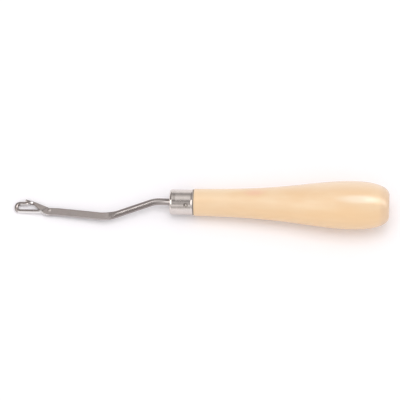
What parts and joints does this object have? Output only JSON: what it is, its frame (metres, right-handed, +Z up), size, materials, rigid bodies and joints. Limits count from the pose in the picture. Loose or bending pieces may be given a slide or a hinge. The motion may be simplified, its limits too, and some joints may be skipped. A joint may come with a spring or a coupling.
{
  "type": "latch hook",
  "caption": "Cranked latch hook with a turned wooden handle, a metal ferrule and a riveted swinging latch.",
  "frame": {"origin": "middle of the tool's footprint as it lies on a table, on the table's surface", "axes": "+X runs along the handle from the hook to the butt, +Z is up from the table, +Y is the side on which the hook opens"},
  "size_m": [0.1652, 0.0212, 0.0216],
  "materials": {
    "handle_wood": "pale turned hardwood with faint lengthwise grain under a thin satin lacquer",
    "ferrule_plate": "thin drawn sheet with bright nickel plating, faintly rippled",
    "shank_steel": "drawn steel rod, pressed flat in front, dull nickel plating",
    "latch_steel": "stamped steel with rounded edges and dull nickel plating",
    "rivet_steel": "peened steel with a low domed head"
  },
  "bodies": {
    "tool": {"handle": "handle_wood", "ferrule": "ferrule_plate", "shank": "shank_steel", "latch_rivet": "rivet_steel"},
    "latch": {"latch": "latch_steel"}
  },
  "joints": [
    {"name": "latch_swing", "type": "hinge", "parent": "tool", "child": "latch", "pos_m": [-0.0671, -0.0053, 0.0018], "axis": [0.0666, 0.0295, -0.9973], "range_deg": [0, 143]}
  ]
}
